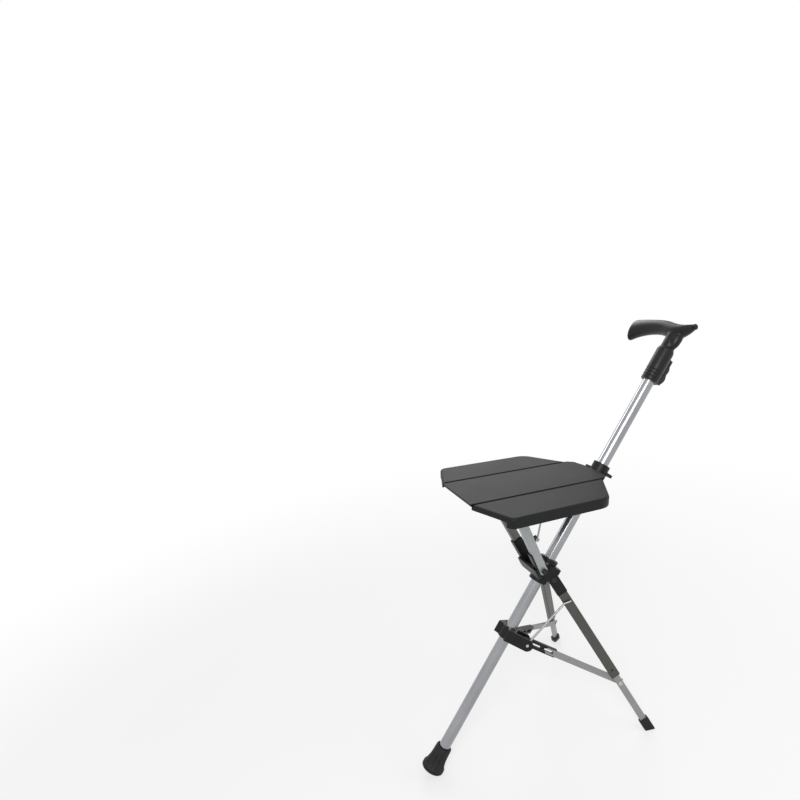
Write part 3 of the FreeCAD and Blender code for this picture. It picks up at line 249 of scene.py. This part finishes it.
METAL_DULLED = 0.82
METAL_EDGE = 0.0004
KEEN_TURN = 35.0
NOISE_MIDDLE = 0.5


def linear(*levels):
    """A colour given in 0 to 255 as the eye sees it, as the light that a shader takes."""
    return tuple(((level / 255 + 0.055) / 1.055) ** 2.4 if level > 10 else level / 255 / 12.92
                 for level in levels) + (1.0,)


def darker(colour, share):
    """A colour with only that share of its light."""
    return tuple(level * share for level in colour[:3]) + (1.0,)


def drawn_metal(name, axis, colour, roughness, metallic=1.0, scuff=0.0, edge=METAL_EDGE):
    """Drawn or extruded aluminium, with fine die lines along its axis and scuffs round it."""
    metal = Finish(name, Metallic=metallic)
    lines = metal.noise(metal.place(DIE_STRETCH, axis), DIE_LINES, detail=2.0, rough=0.6)
    stains = metal.noise(metal.place(STAIN_STRETCH, axis), STAINS, detail=3.0, rough=0.55)
    scuffs = metal.noise(metal.place(SCUFF_STRETCH, axis), SCUFFS, detail=3.0, rough=0.7).ramp(0.6, 0.75)
    rubbed = scuffs * stains.ramp(0.45, 0.6) * scuff
    shade = stains.ramp(0.3, 0.7) * STAIN_SHADE + lines.ramp(0.35, 0.65) * DIE_SHADE
    metal.feed(Base_Color=metal.blend(shade, colour, darker(colour, METAL_DULLED)),
               Roughness=(roughness + (lines - NOISE_MIDDLE) * DIE_ROUGH
                          + (stains - NOISE_MIDDLE) * STAIN_ROUGH + rubbed * SCUFF_ROUGH),
               Normal=metal.bump(lines, DIE_DEPTH, DIE_STRENGTH, edge))
    return metal


def stick_place(height=0.0):
    """The move from a frame whose Z runs up the stick, from that height on it in metres."""
    turn = Matrix((STICK_FRONT, STICK_UP.cross(STICK_FRONT), STICK_UP)).transposed().to_4x4()
    return Matrix.Translation(STICK_FOOT + STICK_UP * height) @ turn


def piece_of(name, shape, finish, keen=KEEN_TURN):
    """A finished mesh as an object, smooth but for edges that turn by more than keen degrees."""
    mesh = bpy.data.meshes.new(name)
    for face in shape.faces:
        face.smooth = True
    shape.to_mesh(mesh)
    shape.free()
    mesh.set_sharp_from_angle(angle=math.radians(keen))
    mesh.materials.append(finish.material)
    piece = bpy.data.objects.new(name, mesh)
    bpy.context.scene.collection.objects.link(piece)
    return piece


polished_tube = drawn_metal("polished_tube", STICK_UP, linear(160, 162, 165), TUBE_GLOSS,
                            scuff=TUBE_SCUFF, edge=0.0)
tube_shape = bmesh.new()
bmesh.ops.create_circle(tube_shape, segments=TUBE_SEGMENTS, radius=TUBE_RADIUS)
bmesh.ops.translate(tube_shape, vec=(0, 0, TUBE_LOW), verts=tube_shape.verts)
for point in tube_shape.verts:
    off_centre = abs(point.co.y)
    if point.co.x > 0 and off_centre < GROOVE_RADIUS:
        point.co.x = TUBE_RADIUS + GROOVE_RADIUS / 2 - math.sqrt(GROOVE_RADIUS ** 2 - off_centre ** 2)
grown = bmesh.ops.extrude_edge_only(tube_shape, edges=tube_shape.edges[:])["geom"]
bmesh.ops.translate(tube_shape, vec=(0, 0, TUBE_HIGH - TUBE_LOW),
                    verts=[part for part in grown if isinstance(part, bmesh.types.BMVert)])
bmesh.ops.recalc_face_normals(tube_shape, faces=tube_shape.faces)
bmesh.ops.solidify(tube_shape, geom=tube_shape.faces[:], thickness=TUBE_WALL)
bmesh.ops.transform(tube_shape, matrix=stick_place() @ Matrix.Scale(MM, 4), verts=tube_shape.verts)
drawn_tube = piece_of("drawn_tube", tube_shape, polished_tube, TUBE_KEEN)
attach(drawn_tube, "stick")
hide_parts("stick_tube")


# Ferrule: black moulded rubber, fluted round its flank, with a ribbed tread that has worn to a
# flat where the leaning stick stands on it. It is pushed onto the end of the tube.

FERRULE_PROFILE = ((0.0, 12.0), (10.05, 12.0), (10.05, 43.2), (10.8, 44.0), (12.7, 44.0), (13.6, 43.4),
                   (14.0, 42.2), (14.1, 39.0), (13.7, 38.4), (13.8, 37.6), (14.3, 37.0), (14.5, 28.0),
                   (15.4, 20.0), (17.2, 12.0), (18.5, 8.6), (19.6, 7.4), (20.0, 6.2), (20.0, 4.9),
                   (19.3, 4.4), (19.3, 3.9), (20.0, 3.4), (20.0, 1.4), (19.3, 0.3), (18.4, 0.0),
                   (14.0, 0.0), (13.2, 0.8), (12.4, 0.0), (8.0, 0.0), (7.2, 0.8), (6.4, 0.0), (0.0, 0.0))
FERRULE_STEPS = 120
POLE_MERGE, SLIVER = 1e-4, 1e-5
FLUTES = 10
FLUTE_DEEP = 1.7
FLUTE_ROUND = 0.7
FLUTE_LOW, FLUTE_HIGH = 9.0, 36.5
FLANK_RADIUS = 12
FLOOR_CUT = 1e-7
RUBBER_BLACK, RUBBER_DUST = linear(12, 12, 13), linear(66, 64, 60)
RUBBER_ROUGH = 0.62
RUBBER_GRAIN, RUBBER_DEPTH, RUBBER_RELIEF = 2600.0, 0.00006, 0.6
DUST_PATCHES = 60.0
DUST_HEIGHT, DUST_AT_FLOOR, DUST_ALL_OVER = 0.012, 0.55, 0.25
DUST_ROUGH, GRAIN_ROUGH = 0.2, 0.1

rubber = Finish("tread_rubber", Specular_IOR_Level=0.35)
rubber_grain = rubber.noise(rubber.place(), RUBBER_GRAIN, detail=3.0, rough=0.6)
rubber_dust = rubber.noise(rubber.place(), DUST_PATCHES, detail=4.0, rough=0.6).ramp(0.5, 0.75)
floor_dust = rubber.along("Z").ramp(0.0, DUST_HEIGHT, DUST_AT_FLOOR, 0.0) * rubber_dust
rubber.feed(Base_Color=rubber.blend(rubber_dust * DUST_ALL_OVER + floor_dust, RUBBER_BLACK, RUBBER_DUST),
            Roughness=RUBBER_ROUGH + rubber_dust * DUST_ROUGH + (rubber_grain - NOISE_MIDDLE) * GRAIN_ROUGH,
            Normal=rubber.bump(rubber_grain, RUBBER_DEPTH, RUBBER_RELIEF))

ferrule_shape = bmesh.new()
points = [ferrule_shape.verts.new((radius, 0, height)) for radius, height in FERRULE_PROFILE]
edges = [ferrule_shape.edges.new(ends) for ends in zip(points, points[1:])]
bmesh.ops.spin(ferrule_shape, geom=points + edges, cent=(0, 0, 0), axis=(0, 0, 1), dvec=(0, 0, 0),
               angle=2 * math.pi, steps=FERRULE_STEPS, use_merge=True)
bmesh.ops.remove_doubles(ferrule_shape, verts=ferrule_shape.verts, dist=POLE_MERGE)
bmesh.ops.dissolve_degenerate(ferrule_shape, dist=SLIVER, edges=ferrule_shape.edges)
bmesh.ops.recalc_face_normals(ferrule_shape, faces=ferrule_shape.faces)
for point in ferrule_shape.verts:
    radius = math.hypot(point.co.x, point.co.y)
    if FLUTE_LOW < point.co.z < FLUTE_HIGH and radius > FLANK_RADIUS:
        bearing = math.atan2(point.co.y, point.co.x)
        deep = max(0.0, math.cos(FLUTES * bearing)) ** FLUTE_ROUND * FLUTE_DEEP
        point.co.xy *= (radius - deep) / radius
bmesh.ops.transform(ferrule_shape, matrix=stick_place() @ Matrix.Scale(MM, 4), verts=ferrule_shape.verts)
bmesh.ops.bisect_plane(ferrule_shape, geom=ferrule_shape.verts[:] + ferrule_shape.edges[:]
                       + ferrule_shape.faces[:], dist=FLOOR_CUT, plane_co=(0, 0, 0),
                       plane_no=(0, 0, -1), clear_outer=True)
bmesh.ops.holes_fill(ferrule_shape, edges=[edge for edge in ferrule_shape.edges if edge.is_boundary])
ferrule = piece_of("rubber_ferrule", ferrule_shape, rubber)
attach(ferrule, "stick")
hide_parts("ferrule")


# Hub, its ring, the bar shoes and yoke, the clip ring, the slider, the leg knuckles and the strut
# arms: moulded in black glass-filled nylon, with the edges eased by the mould and a faint grain.

CAD_MERGE = 2e-6
FLAT_WITHIN = math.radians(0.6)
EASED_FROM = math.radians(32.0)
NYLON_BLACK, NYLON_RUBBED = linear(13, 13, 14), linear(46, 46, 46)
NYLON_ROUGH = 0.4
NYLON_GRAIN, NYLON_DEPTH, NYLON_RELIEF = 1500.0, 0.00004, 0.7
NYLON_CLOUDS, NYLON_CLOUD_SHADE, NYLON_CLOUD_ROUGH = 80.0, 0.15, 0.16
NYLON_SCUFFS, NYLON_SCUFF_SHADE, NYLON_SCUFF_ROUGH = 420.0, 0.35, 0.12
NYLON_SCUFF_STRETCH = (1, 1, 0.15)

nylon = Finish("black_nylon", Specular_IOR_Level=0.25)
nylon_grain = nylon.noise(nylon.place(), NYLON_GRAIN, detail=3.0, rough=0.6)
nylon_cloud = nylon.noise(nylon.place(), NYLON_CLOUDS, detail=3.0, rough=0.5)
nylon_scuff = nylon.noise(nylon.place(NYLON_SCUFF_STRETCH, STICK_UP), NYLON_SCUFFS, detail=4.0, rough=0.7)
nylon_scuff = nylon_scuff.ramp(0.63, 0.74)
nylon_shade = nylon_scuff * NYLON_SCUFF_SHADE + nylon_cloud.ramp(0.4, 0.8) * NYLON_CLOUD_SHADE
nylon.feed(Base_Color=nylon.blend(nylon_shade, NYLON_BLACK, NYLON_RUBBED),
           Roughness=(NYLON_ROUGH + (nylon_cloud - NOISE_MIDDLE) * NYLON_CLOUD_ROUGH
                      + nylon_scuff * NYLON_SCUFF_ROUGH),
           Normal=nylon.bump(nylon_grain, NYLON_DEPTH, NYLON_RELIEF))


def merged(node):
    """A copy of a CAD node's loose triangles, merged to one skin."""
    shape = bmesh.new()
    shape.from_mesh(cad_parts[node].data)
    bmesh.ops.remove_doubles(shape, verts=shape.verts, dist=CAD_MERGE)
    return shape


def moulded(name, node, body, finish, width, segments=2):
    """A moulded piece in the place of a CAD node, its keen edges rounded to that width."""
    shape = merged(node)
    bmesh.ops.dissolve_limit(shape, angle_limit=FLAT_WITHIN, verts=shape.verts, edges=shape.edges)
    keen = [edge for edge in shape.edges
            if len(edge.link_faces) == 2 and edge.calc_face_angle() > EASED_FROM]
    bmesh.ops.bevel(shape, geom=keen, offset=width, offset_type="OFFSET", affect="EDGES",
                    segments=segments, profile=0.5, material=-1, clamp_overlap=True)
    piece = piece_of(name, shape, finish)
    piece.modifiers.new("flats", "WEIGHTED_NORMAL").keep_sharp = True
    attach(piece, body)
    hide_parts(node)


for name, node, body, width in (
        ("moulded_hub", "hub", "stick", 0.0007), ("moulded_hub_ring", "hub_ring", "stick", 0.0009),
        ("moulded_clip_ring", "clip_ring", "clip", 0.0007), ("moulded_slider", "slider", "slider", 0.0007),
        ("moulded_yoke", "bar_yoke", "front_frame", 0.0009)):
    moulded(name, node, body, nylon, width)
for side in ("near", "far"):
    for name, node, body, width in (
            ("moulded_shoe_", "bar_shoe_", "front_frame", 0.0007),
            ("moulded_knuckle_", "leg_knuckle_", "leg_" + side, 0.0008),
            ("moulded_arm_", "strut_arm_", "strut_" + side, 0.0007)):
        moulded(name + side, node + side, body, nylon, width)


# Front bars and legs: flat extruded tubes of anodised aluminium. The upper legs are dyed a darker
# grey than the bars and than the thinner lower legs that slide up into them.

# The far bar is the near bar's anodised metal; its darker grey is painted shade, not a dye.
BAR_GREY_AND_FAR_SHADE = {"near": (162, 165, 166), "far": (112, 113, 111)}
LEG_GREY, LOWER_GREY = (82, 82, 79), (148, 149, 146)


def dress(finish, *nodes):
    """Gives CAD nodes, whose shape stays, their finish."""
    for node in nodes:
        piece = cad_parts[node]
        piece.data.materials.clear()
        piece.data.materials.append(finish.material)


for side, mirror in (("near", 1), ("far", -1)):
    bar_axis = Vector((-0.3106, -0.1252 * mirror, 0.942))
    leg_axis = Vector((-0.270, 0.389 * mirror, 0.881))
    for name, node, axis, grey, roughness, metallic in (
            ("bar_metal_", "front_bar_", bar_axis, BAR_GREY_AND_FAR_SHADE[side], 0.36, 0.5),
            ("leg_metal_", "leg_tube_", leg_axis, LEG_GREY, 0.38, 0.6),
            ("lower_metal_", "leg_lower_", leg_axis, LOWER_GREY, 0.34, 0.6)):
        dress(drawn_metal(name + side, axis, linear(*grey), roughness, metallic), node + side)


# Pins, rivets, brackets, straps, stays and rods: zinc-plated steel, bright on the pins and
# duller on the pressed parts, with a fine grain and small dark spots where the plating is thin.

SPANGLES, SPANGLE_DEPTH, SPANGLE_RELIEF = 700.0, 0.00003, 0.5
SPANGLE_SHADE, SPANGLE_ROUGH = 0.25, 0.2
SPOTS, SPOT_DULLED = 240.0, 0.4
SPOT_SHADE, SPOT_ROUGH = 0.5, 0.15
STEEL_EDGE = 0.0003


def plated(name, level, roughness):
    """Zinc-plated steel of that grey, with a mottled and slightly worn surface."""
    metal = Finish(name, Metallic=1.0)
    spangle = metal.noise(metal.place(), SPANGLES, detail=4.0, rough=0.65)
    spots = metal.noise(metal.place(), SPOTS, detail=3.0, rough=0.6).ramp(0.62, 0.72)
    colour = linear(*level)
    shade = spots * SPOT_SHADE + spangle.ramp(0.3, 0.7) * SPANGLE_SHADE
    metal.feed(Base_Color=metal.blend(shade, colour, darker(colour, SPOT_DULLED)),
               Roughness=roughness + (spangle - NOISE_MIDDLE) * SPANGLE_ROUGH + spots * SPOT_ROUGH,
               Normal=metal.bump(spangle, SPANGLE_DEPTH, SPANGLE_RELIEF, STEEL_EDGE))
    return metal


bright_steel = plated("bright_steel", (190, 190, 190), 0.28)
pressed_steel = plated("pressed_steel", (150, 151, 151), 0.4)
black_steel = plated("black_steel", (58, 58, 58), 0.3)
wire_steel = plated("wire_steel", (165, 166, 167), 0.32)
dress(bright_steel, "top_rod", "clip_pin")
dress(black_steel, "front_pin")
for side in ("near", "far"):
    dress(pressed_steel, "strut_strap_" + side, "front_bracket_" + side, "rear_bracket_" + side,
          "stay_bracket_" + side)
    dress(wire_steel, "brace_rod_" + side, "seat_stay_" + side)
    dress(bright_steel, "seam_pins_" + side, "strut_pin_" + side, "brace_pin_" + side, "leg_rivet_" + side)
    dress(black_steel, "leg_pin_" + side)


# Feet of the two rear legs: black rubber caps, pushed onto the lower tubes and cut flat where they
# stand on the floor, of the same rubber as the ferrule.

FOOT_EASE, FOOT_STEPS = 0.0009, 3

for side in ("near", "far"):
    moulded("rubber_foot_" + side, "leg_foot_" + side, "leg_" + side, rubber,
            FOOT_EASE, FOOT_STEPS)


# Seat: three moulded polypropylene boards with a fine leather grain on top. The side boards have
# deep round skirts and fold down along the two seams, whose grooves carry a band of painted shade.

SEAT_DARK, SEAT_LIGHT, SEAM_SHADE_DARK = linear(27, 29, 28), linear(42, 44, 42), linear(5, 5, 5)
SEAT_ROUGH = 0.5
SEAT_EASE = 0.0007
SEAM_LINE = 0.0507
# How far from the seam line the painted shade is full and where it has gone, in metres.
SEAM_SHADE_END, SEAM_SHADE_FULL = 0.0040, 0.0014
SEAM_ROUGH = 0.4
PEBBLES, PEBBLE_SOFT, PEBBLE_DEPTH, PEBBLE_RELIEF = 1100.0, 0.6, 0.00007, 0.6
SEAT_CLOUDS, SEAT_CLOUD_SHADE, SEAT_CLOUD_ROUGH = 14.0, 0.35, 0.14
SCRATCHES, SCRATCH_SHADE, SCRATCH_ROUGH = 900.0, 0.3, 0.08
SCRATCH_STRETCH, SCRATCH_AXIS = (0.06, 1, 1), (1, 0.2, -0.15)

seat_plastic = Finish("seat_plastic", Specular_IOR_Level=0.14)
pebble = seat_plastic.node("ShaderNodeTexVoronoi", {"feature": "SMOOTH_F1"},
                           {"Vector": seat_plastic.place(), "Scale": PEBBLES, "Smoothness": PEBBLE_SOFT})
seat_cloud = seat_plastic.noise(seat_plastic.place(), SEAT_CLOUDS, detail=4.0, rough=0.55)
seat_scratch = seat_plastic.noise(seat_plastic.place(SCRATCH_STRETCH, SCRATCH_AXIS), SCRATCHES,
                                  detail=3.0, rough=0.7)
seat_scratch = seat_scratch.ramp(0.66, 0.74) * seat_cloud.ramp(0.5, 0.62)
# Painted shade: a dark band along each seam line, full within 1.4 mm of it and gone by 4 mm.
from_seam = abs(abs(seat_plastic.along("Y")) - SEAM_LINE)
seam_painted_shade = from_seam.ramp(SEAM_SHADE_FULL, SEAM_SHADE_END, 1.0, 0.0)
board_shade = seat_cloud.ramp(0.3, 0.75) * SEAT_CLOUD_SHADE + seat_scratch * SCRATCH_SHADE
board_tone = seat_plastic.blend(board_shade, SEAT_DARK, SEAT_LIGHT)
seat_plastic.feed(
    Base_Color=seat_plastic.blend(seam_painted_shade, board_tone, SEAM_SHADE_DARK),
    Roughness=(SEAT_ROUGH + (seat_cloud - NOISE_MIDDLE) * SEAT_CLOUD_ROUGH
               + seat_scratch * SCRATCH_ROUGH + seam_painted_shade * SEAM_ROUGH),
    Normal=seat_plastic.bump(pebble, PEBBLE_DEPTH, PEBBLE_RELIEF))

moulded("seat_board_middle", "seat_middle", "seat_board", seat_plastic, SEAT_EASE)
for side in ("near", "far"):
    moulded("seat_board_" + side, "seat_side_" + side, "side_board_" + side,
            seat_plastic, SEAT_EASE)


# Grip sleeve: satin black moulded plastic with ring grooves at its lower end, pushed over the tube's
# top. Its housing at the back holds the release trigger. Hands have rubbed it smooth.

GRIP_BLACK, GRIP_RUBBED = linear(12, 13, 14), linear(26, 27, 28)
GRIP_ROUGH = 0.34
GRIP_GRAIN, GRIP_DEPTH, GRIP_RELIEF = 1800.0, 0.00003, 0.5
GRIP_CLOUDS, GRIP_CLOUD_SHADE, GRIP_CLOUD_ROUGH = 55.0, 0.4, 0.14
SLEEVE_EASE = 0.0006

grip_plastic = Finish("grip_plastic", Specular_IOR_Level=0.3)
grip_grain = grip_plastic.noise(grip_plastic.place(), GRIP_GRAIN, detail=2.0, rough=0.5)
grip_cloud = grip_plastic.noise(grip_plastic.place(), GRIP_CLOUDS, detail=3.0, rough=0.5)
grip_plastic.feed(
    Base_Color=grip_plastic.blend(grip_cloud.ramp(0.35, 0.75) * GRIP_CLOUD_SHADE, GRIP_BLACK, GRIP_RUBBED),
    Roughness=GRIP_ROUGH + (grip_cloud - NOISE_MIDDLE) * GRIP_CLOUD_ROUGH,
    Normal=grip_plastic.bump(grip_grain, GRIP_DEPTH, GRIP_RELIEF))
moulded("moulded_sleeve", "grip_sleeve", "stick", grip_plastic, SLEEVE_EASE)


# Handle: a derby grip moulded in one with its stem, of the sleeve's plastic. The web between stem
# and nose is filled out and the nose ends in a small ball, and both flow softly into the grip.

HANDLE_START = 0.828
WEB_PLACE, WEB_REACH = Vector((0, 0.0085, 0.019)), (0.0095, 0.0105, 0.021)
NOSE_PLACE, NOSE_REACH = Vector((0, 0.0335, 0.0437)), (0.0058, 0.0040, 0.0048)
SWELL_SEGMENTS, SWELL_RINGS = 40, 24
HANDLE_VOXEL = 0.0009
HANDLE_RELAX, RELAX_STEPS = 0.5, 12

handle_shape = merged("handle")
for place, reach in ((WEB_PLACE, WEB_REACH), (NOSE_PLACE, NOSE_REACH)):
    swell = Matrix.Translation(place) @ Matrix.Diagonal((*reach, 1.0))
    bmesh.ops.create_uvsphere(handle_shape, u_segments=SWELL_SEGMENTS, v_segments=SWELL_RINGS, radius=1.0,
                              matrix=stick_place(HANDLE_START) @ swell)
handle = piece_of("moulded_handle", handle_shape, grip_plastic)
melt = handle.modifiers.new("melt", "REMESH")
melt.mode = "VOXEL"
melt.voxel_size = HANDLE_VOXEL
melt.use_smooth_shade = True
relax = handle.modifiers.new("relax", "SMOOTH")
relax.factor = HANDLE_RELAX
relax.iterations = RELAX_STEPS
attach(handle, "stick")
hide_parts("handle")


# Release trigger: a finger lever moulded in the sleeve's plastic. It slides in the housing at the
# back of the sleeve against a spring, and its edges are rounded for the finger.

TRIGGER_EASE, TRIGGER_STEPS = 0.0012, 3

moulded("moulded_trigger", "release_trigger", "trigger", grip_plastic,
        TRIGGER_EASE, TRIGGER_STEPS)
